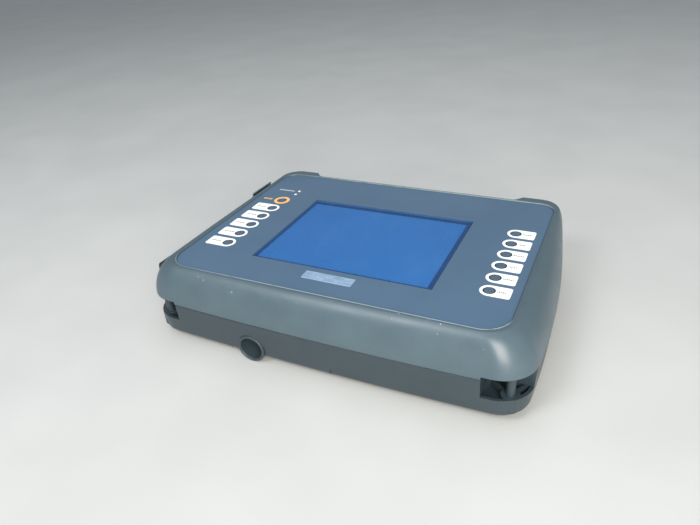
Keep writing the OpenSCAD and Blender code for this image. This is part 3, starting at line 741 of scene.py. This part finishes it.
def opening_distance(s):
    """Distance in millimetres from the edge of the overlay's recess, positive outside it."""
    middle_y = (OVERLAY_LOW.y + OVERLAY_HIGH.y) / 2
    half = (OVERLAY_HIGH.x + 0.15, (OVERLAY_HIGH.y - OVERLAY_LOW.y) / 2 + 0.15)
    x = s.calc("SUBTRACT", s.calc("MULTIPLY", s.axis("X"), 1 / MM), ORIGIN.x / MM)
    y = s.calc("SUBTRACT", s.calc("MULTIPLY", s.axis("Y"), 1 / MM), ORIGIN.y / MM + middle_y)
    is_far = s.calc("GREATER_THAN", y, 0.0)
    radius = s.mixed(is_far, OVERLAY_NEAR_R + 0.15, OVERLAY_FAR_R + 0.15)
    out_x = s.calc("ADD", s.calc("SUBTRACT", s.calc("ABSOLUTE", x), half[0]), radius)
    out_y = s.calc("ADD", s.calc("SUBTRACT", s.calc("ABSOLUTE", y), half[1]), radius)
    across, along = s.calc("MAXIMUM", out_x, 0.0), s.calc("MAXIMUM", out_y, 0.0)
    squares = s.calc("ADD", s.calc("POWER", across, 2.0), s.calc("POWER", along, 2.0))
    front_or_far = s.ramp(out_y, 2.0, 12.0)
    return s.calc("SUBTRACT", s.calc("SQRT", squares), radius), front_or_far


def case_plastic(name, shade=1.0):
    """Satin grey case: moulding grain, a pale rim line that is partly wear and partly a painted
    highlight, and small scuffs near the front rim.
    """
    s = Surface(name, IOR=1.5)
    greys = ((0.056, 0.088, 0.108), (0.078, 0.118, 0.142))
    # A shade below 1 darkens the same plastic into a painted shade copy for less lit parts.
    base, pale = [tuple(c * shade for c in rgb) for rgb in greys]
    # Pale colour of the rim line: partly wear, partly a painted highlight.
    worn = (0.46, 0.55, 0.60)
    tone = s.ramp(s.noise(46, 4, 0.55), 0.32, 0.70)
    cloud = s.ramp(s.noise(9, 5, 0.65), 0.38, 0.72)
    colour = s.blend(s.calc("MULTIPLY", tone, 0.45), base, pale)
    colour = s.blend(s.calc("MULTIPLY", cloud, 0.18), colour, pale)
    away, front_or_far = opening_distance(s)
    from_lip = s.calc("ABSOLUTE", s.calc("SUBTRACT", away, 0.45))
    lip = s.calc("SUBTRACT", 1.0, s.ramp(from_lip, 0.15, 0.8))
    rubbed_and_highlit = s.ramp(s.noise(7, 4, 0.7, (1, 1, 0.2)), 0.30, 0.52, 0.35, 1.0)
    # Where the pale rim line goes: the top of the rim at the front and far edges, weaker towards
    # the left. It stands for rub marks and a painted highlight.
    high = s.ramp(s.axis("Z"), (RIM_Z - 0.9) * MM, (RIM_Z - 0.3) * MM)
    from_left = s.ramp(s.axis("X"), -0.115, -0.045, 0.3, 1.0)
    at_front = s.ramp(s.axis("Y"), -0.02, -0.06, 0.35, 1.0)
    place_on_rim = s.calc("MULTIPLY", s.calc("MULTIPLY", from_left, at_front), front_or_far)
    where = s.calc("MULTIPLY", high, place_on_rim)
    wear_and_highlight = s.calc("MULTIPLY", s.calc("MULTIPLY", lip, rubbed_and_highlit), where)
    colour = s.blend(s.calc("MULTIPLY", wear_and_highlight, 0.9), colour, worn)
    near_rim = s.calc("MULTIPLY", s.ramp(away, 12.0, 1.0), s.ramp(s.axis("Y"), -0.078, -0.086))
    fleck = s.ramp(s.noise(2.4, 2, 0.4), 0.70, 0.74)
    patch = s.ramp(s.noise(24, 2), 0.50, 0.62)
    flecks = s.calc("MULTIPLY", s.calc("MULTIPLY", fleck, patch), near_rim)
    colour = s.blend(flecks, colour, (0.62, 0.68, 0.70))
    s.colour(colour)
    gloss = s.ramp(s.noise(18, 5, 0.6), 0.25, 0.75, 0.30, 0.42)
    s.roughness(s.mixed(s.calc("MULTIPLY", wear_and_highlight, 0.7), gloss, 0.30))
    edge = s.tree.nodes.new("ShaderNodeBevel")
    edge.samples = 4
    edge.inputs["Radius"].default_value = 0.45 * MM
    soft = s.bump(s.noise(30, 2), 0.10, 0.5, edge.outputs["Normal"])
    s.normal(s.bump(s.noise(0.42, 2, 0.5), 0.30, 0.03, soft))
    return s.material


def overlay_film():
    """Matt hard-coated film with a fine even grain and faint handling smears."""
    s = Surface("keypad_film", IOR=1.5)
    tone = s.ramp(s.noise(60, 3), 0.3, 0.7)
    s.colour(s.blend(s.calc("MULTIPLY", tone, 0.5), (0.062, 0.116, 0.186), (0.078, 0.138, 0.214)))
    smear = s.ramp(s.noise(12, 5, 0.65, (1.0, 0.45, 1.0)), 0.35, 0.72)
    s.roughness(s.mixed(smear, 0.36, 0.46))
    s.normal(s.bump(s.noise(0.22, 2, 0.5), 0.22, 0.012))
    return s.material


def key_film():
    s = Surface("key_film_face", IOR=1.5)
    tone = s.ramp(s.noise(8, 3), 0.3, 0.7)
    s.colour(s.blend(s.calc("MULTIPLY", tone, 0.5), (0.060, 0.098, 0.150), (0.078, 0.122, 0.180)))
    s.roughness(s.ramp(s.noise(3, 4, 0.6), 0.3, 0.7, 0.34, 0.46))
    s.normal(s.bump(s.noise(0.2, 2), 0.22, 0.012))
    return s.material


def key_gap_shade():
    # Near-black edge of a key cap: painted shade of the gap between the key and the overlay.
    s = Surface("key_edge_painted_shade", IOR=1.5)
    tone = s.ramp(s.noise(1.2, 3), 0.3, 0.7)
    s.colour(s.blend(tone, (0.012, 0.020, 0.034), (0.022, 0.034, 0.052)))
    s.roughness(s.ramp(s.noise(2, 4, 0.6), 0.3, 0.7, 0.35, 0.5))
    s.normal(s.bump(s.noise(0.2, 2), 0.2, 0.01))
    return s.material


def printed(name, base, dirty, rough=0.42, soil=0.35):
    """Screen print: nearly even colour, slightly soiled, with a faint ink grain."""
    s = Surface(name, IOR=1.5)
    grime = s.ramp(s.noise(5, 5, 0.65), 0.45, 0.75)
    s.colour(s.blend(s.calc("MULTIPLY", grime, soil), base, dirty))
    s.roughness(s.ramp(s.noise(3, 4), 0.3, 0.7, rough - 0.06, rough + 0.08))
    s.normal(s.bump(s.noise(0.3, 2), 0.15, 0.01))
    return s.material


def clear_window():
    """Clear blue-tinted window with faint smears. It is thin, so it lets light straight through."""
    s = Surface("window_clear", IOR=1.49, Alpha=0.22)
    smear = s.ramp(s.noise(16, 5, 0.65, (1.0, 0.5, 1.0)), 0.45, 0.75)
    s.colour(s.blend(s.calc("MULTIPLY", smear, 0.3), (0.03, 0.14, 0.42), (0.10, 0.24, 0.50)))
    s.roughness(s.mixed(smear, 0.03, 0.09))
    s.normal(s.bump(s.noise(40, 2), 0.04, 0.05))
    return s.material


def lcd_face():
    """Unlit blue display: an almost even tone and very fine cell lines."""
    s = Surface("lcd_blue", IOR=1.5)
    tone = s.ramp(s.noise(120, 2), 0.25, 0.75)
    s.colour(s.blend(tone, (0.030, 0.180, 0.480), (0.042, 0.225, 0.560)))
    lines = s.tree.nodes.new("ShaderNodeTexWave")
    s.put(lines.inputs["Vector"], s.point)
    lines.inputs["Scale"].default_value = 1000.0 / 6.0
    s.roughness(s.ramp(s.noise(30, 3), 0.3, 0.7, 0.22, 0.28))
    s.normal(s.bump(lines.outputs["Fac"], 0.04, 0.004))
    return s.material


def label_foil():
    """Satin foil label, with a fine brushed grain and worn patches where lettering was."""
    s = Surface("label_foil", Metallic=0.35)
    grain = s.noise(1.6, 4, 0.6, (0.12, 1.0, 1.0))
    worn = s.ramp(s.noise(3.6, 4, 0.7), 0.46, 0.66)
    colour = s.blend(s.ramp(grain, 0.3, 0.7), (0.22, 0.34, 0.52), (0.34, 0.47, 0.64))
    s.colour(s.blend(s.calc("MULTIPLY", worn, 0.55), colour, (0.44, 0.57, 0.74)))
    s.roughness(s.ramp(grain, 0.3, 0.7, 0.34, 0.5))
    s.normal(s.bump(grain, 0.25, 0.02))
    return s.material


def metal(name, base, stained, rough, grain=(1.0, 1.0, 1.0)):
    """Plated or brushed metal with a directional grain, stains and uneven gloss."""
    s = Surface(name, Metallic=1.0)
    stain = s.ramp(s.noise(4, 5, 0.65), 0.45, 0.75)
    s.colour(s.blend(s.calc("MULTIPLY", stain, 0.6), base, stained))
    fine = s.noise(0.7, 4, 0.6, grain)
    s.roughness(s.ramp(fine, 0.25, 0.75, rough - 0.08, rough + 0.12))
    s.normal(s.bump(fine, 0.2, 0.01))
    return s.material


def circuit_board():
    s = Surface("board_green", IOR=1.5)
    cells = s.tree.nodes.new("ShaderNodeTexVoronoi")
    s.put(cells.inputs["Vector"], s.point)
    cells.inputs["Scale"].default_value = 1000.0 / 5.0
    tracks = s.ramp(cells.outputs["Distance"], 0.2, 0.5)
    s.colour(s.blend(tracks, (0.010, 0.085, 0.035), (0.020, 0.150, 0.062)))
    s.roughness(s.ramp(s.noise(6, 4), 0.3, 0.7, 0.28, 0.42))
    s.normal(s.bump(tracks, 0.3, 0.03))
    return s.material


def milky():
    s = Surface("diffuser_milky", IOR=1.5)
    s.colour(s.blend(s.ramp(s.noise(20, 3), 0.3, 0.7), (0.76, 0.77, 0.75), (0.84, 0.84, 0.82)))
    s.roughness(s.ramp(s.noise(5, 3), 0.3, 0.7, 0.30, 0.45))
    s.normal(s.bump(s.noise(0.8, 2), 0.2, 0.02))
    return s.material


def floor_material():
    s = Surface("pale_floor")
    s.colour(s.blend(s.ramp(s.noise(120, 3), 0.3, 0.7), (0.50, 0.51, 0.50), (0.53, 0.54, 0.53)))
    s.roughness(s.ramp(s.noise(60, 3), 0.3, 0.7, 0.55, 0.65))
    return s.material


def make_materials():
    rubber = moulded("rubber_black", (0.012, 0.013, 0.014), (0.035, 0.037, 0.038), 0.62, 0.6, 0.04)
    port = moulded("port_black", (0.016, 0.017, 0.019), (0.040, 0.042, 0.045), 0.42, 0.5, 0.02)
    black = moulded("chip_black", (0.014, 0.014, 0.015), (0.030, 0.030, 0.031), 0.55, 0.4, 0.03)
    panel = moulded("panel_grey", (0.040, 0.043, 0.047), (0.070, 0.074, 0.079), 0.40, 0.5, 0.02)
    return {
        "case_plastic": case_plastic("case_satin"),
        "overlay_film": overlay_film(),
        "key_film": key_film(),
        "white_print": printed("print_white", (0.86, 0.89, 0.88), (0.62, 0.64, 0.62)),
        "orange_print": printed("print_orange", (0.87, 0.49, 0.17), (0.62, 0.36, 0.16)),
        "window_clear": clear_window(),
        "border_print": printed("print_navy", (0.006, 0.022, 0.075), (0.012, 0.034, 0.10), 0.30),
        "lcd_glass": lcd_face(),
        "plated_steel": metal("steel_plated", (0.62, 0.62, 0.60), (0.40, 0.39, 0.36), 0.34),
        "fastener_steel": metal(
            "steel_brushed", (0.52, 0.52, 0.51), (0.33, 0.32, 0.30), 0.42, (0.15, 1, 1)
        ),
        "diffuser_white": milky(),
        "lamp_lens": milky(),
        "label_silver": label_foil(),
        "circuit_board": circuit_board(),
        "black_moulding": black.material,
        "ribbon_film": printed("film_amber", (0.42, 0.17, 0.04), (0.28, 0.11, 0.03), 0.30),
        "panel_aluminium": panel.material,
        "socket_nickel": metal("nickel_bright", (0.68, 0.66, 0.62), (0.45, 0.42, 0.36), 0.26),
        "port_black": port.material,
        "contact_brass": metal("brass_gold", (0.80, 0.60, 0.24), (0.52, 0.36, 0.13), 0.30),
        "black_rubber": rubber.material,
    }


def dress_nodes(materials):
    """Gives every carried-over CAD node the material of its slot in the record."""
    for part in frame["record"]["subparts"]:
        obj = frame["nodes"][part["node"]]
        obj.data.materials.clear()
        obj.data.materials.append(materials[part["material_slot"]])
    # The display bezel is made near-black: painted shade of the deep walls round the display.
    bezel_shade = moulded("bezel_painted_shade", (0.008, 0.014, 0.03), (0.014, 0.022, 0.045), 0.45).material
    frame["nodes"]["lcd_bezel"].data.materials[0] = bezel_shade


# ---------- scene ----------


def make_camera():
    data = bpy.data.cameras.new("camera")
    data.sensor_width = 36.0
    data.lens = 30.2
    data.clip_start, data.clip_end = 0.01, 20.0
    obj = bpy.data.objects.new("camera", data)
    bpy.context.scene.collection.objects.link(obj)
    azimuth, elevation, roll = (math.radians(a) for a in (27.43, 30.29, -4.3))
    ahead = Vector((
        -math.sin(azimuth) * math.cos(elevation),
        math.cos(azimuth) * math.cos(elevation),
        -math.sin(elevation),
    ))
    right = Vector((math.cos(azimuth), math.sin(azimuth), 0.0))
    up = right.cross(ahead)
    right, up = (
        right * math.cos(roll) + up * math.sin(roll),
        up * math.cos(roll) - right * math.sin(roll),
    )
    turn = Matrix((right, up, -ahead)).transposed()
    at = ORIGIN + Vector((0.16373, -0.34369, 0.25990))
    obj.matrix_world = Matrix.Translation(at) @ turn.to_4x4()
    bpy.context.scene.camera = obj


def area_light(name, at, target, size, power, colour=(1, 1, 1)):
    data = bpy.data.lights.new(name, "AREA")
    data.shape = "RECTANGLE"
    data.size, data.size_y = size
    data.energy = power
    data.color = colour
    obj = bpy.data.objects.new(name, data)
    bpy.context.scene.collection.objects.link(obj)
    aim = (Vector(target) - Vector(at)).to_track_quat("-Z", "Y")
    obj.matrix_world = Matrix.Translation(at) @ aim.to_matrix().to_4x4()


def make_studio():
    scene = bpy.context.scene
    scene.view_settings.view_transform = "Standard"
    world = bpy.data.worlds.new("studio")
    world.use_nodes = True
    world.node_tree.nodes["Background"].inputs["Color"].default_value = (0.80, 0.87, 0.94, 1)
    world.node_tree.nodes["Background"].inputs["Strength"].default_value = 0.40
    scene.world = world
    front, top = (0.1, -0.08, 0.03), (0, -0.02, 0)
    area_light("corner_strip", (0.72, -1.05, 0.62), front, (0.6, 1.2), 31, (1.0, 0.95, 0.88))
    area_light("overhead", (-0.1, 0.0, 1.5), top, (1.3, 0.9), 6, (0.93, 0.97, 1.0))
    slope = (0.05, -0.09, 0.05)
    area_light("slope_sheen", (-0.42, -0.93, 1.12), slope, (0.5, 0.5), 9, (0.97, 0.98, 1.0))
    floor = mesh_object("floor", [(-6, -6, 0), (6, -6, 0), (6, 6, 0), (-6, 6, 0)], [(0, 1, 2, 3)])
    floor.data.materials.append(floor_material())


def build():
    materials = make_materials()
    dress_nodes(materials)
    # The rear shell, tube, battery door and strap posts take a darker copy of the same case
    # plastic: painted shade for the lower, less lit parts.
    shaded_lower_case = case_plastic("case_satin_painted_shade", 0.44)
    make_front_shell(materials["case_plastic"])
    make_rear_shell(shaded_lower_case)
    make_probe_tube(shaded_lower_case)
    for node in ("battery_door", "strap_posts"):
        frame["nodes"][node].data.materials[0] = shaded_lower_case
    centres = key_centres()
    for node, centre in centres.items():
        make_key(node, centre, [materials["key_film"], key_gap_shade()])
    grey = printed("mark_grey", (0.20, 0.23, 0.25), (0.34, 0.36, 0.37))
    make_legends(centres, grey, materials["orange_print"], materials["white_print"])
    for node, width in {
        "keypad_overlay": 0.12, "name_plate": 0.1, "battery_door": 0.5, "card_door": 0.5,
        "power_cover": 1.2, "rubber_feet": 0.7, "connector_panel": 0.3, "data_port": 0.3,
        "door_fastener_left": 0.2, "door_fastener_right": 0.2, "housing_screws": 0.2,
        "panel_screws": 0.15, "power_socket": 0.25, "rating_plate": 0.05, "display_window": 0.15,
        "coax_socket_1": 0.2, "coax_socket_2": 0.2, "coax_socket_3": 0.2, "coax_socket_4": 0.2,
        "status_lamps": 0.15, "battery_pack": 0.8,
    }.items():
        soften(node, width)


make_camera()
make_studio()
build()
